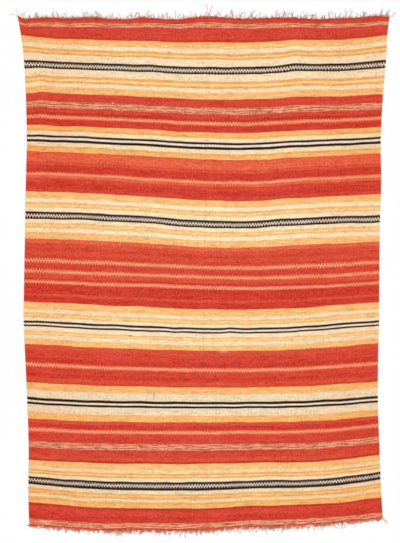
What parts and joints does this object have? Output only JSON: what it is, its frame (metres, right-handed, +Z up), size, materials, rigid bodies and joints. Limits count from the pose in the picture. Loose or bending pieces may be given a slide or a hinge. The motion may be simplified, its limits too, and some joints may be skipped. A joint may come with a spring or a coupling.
{
  "type": "zuni wearing blanket",
  "caption": "Rectangular striped wool wearing blanket in weft-faced weave with beaded bands, laid flat, with short frayed warp ends at top and bottom.",
  "frame": {"origin": "on the surface that the blanket lies on, under the middle of its whole spread with both fringes", "axes": "+Z up out of the upper face, +Y along the warps towards the top edge, +X across towards the right selvedge seen face on"},
  "size_m": [1.3802, 1.9362, 0.0026],
  "materials": {
    "wool_weave": "matte handspun wool, weft-faced plain weave with red, salmon, yellow, cream, white and dark brown stripes",
    "warp_yarn": "matte undyed warp yarn ends, greyish brown to pinkish, frayed"
  },
  "bodies": {
    "root": {"blanket": "wool_weave", "fringe_top": "warp_yarn", "fringe_bottom": "warp_yarn"}
  },
  "joints": []
}
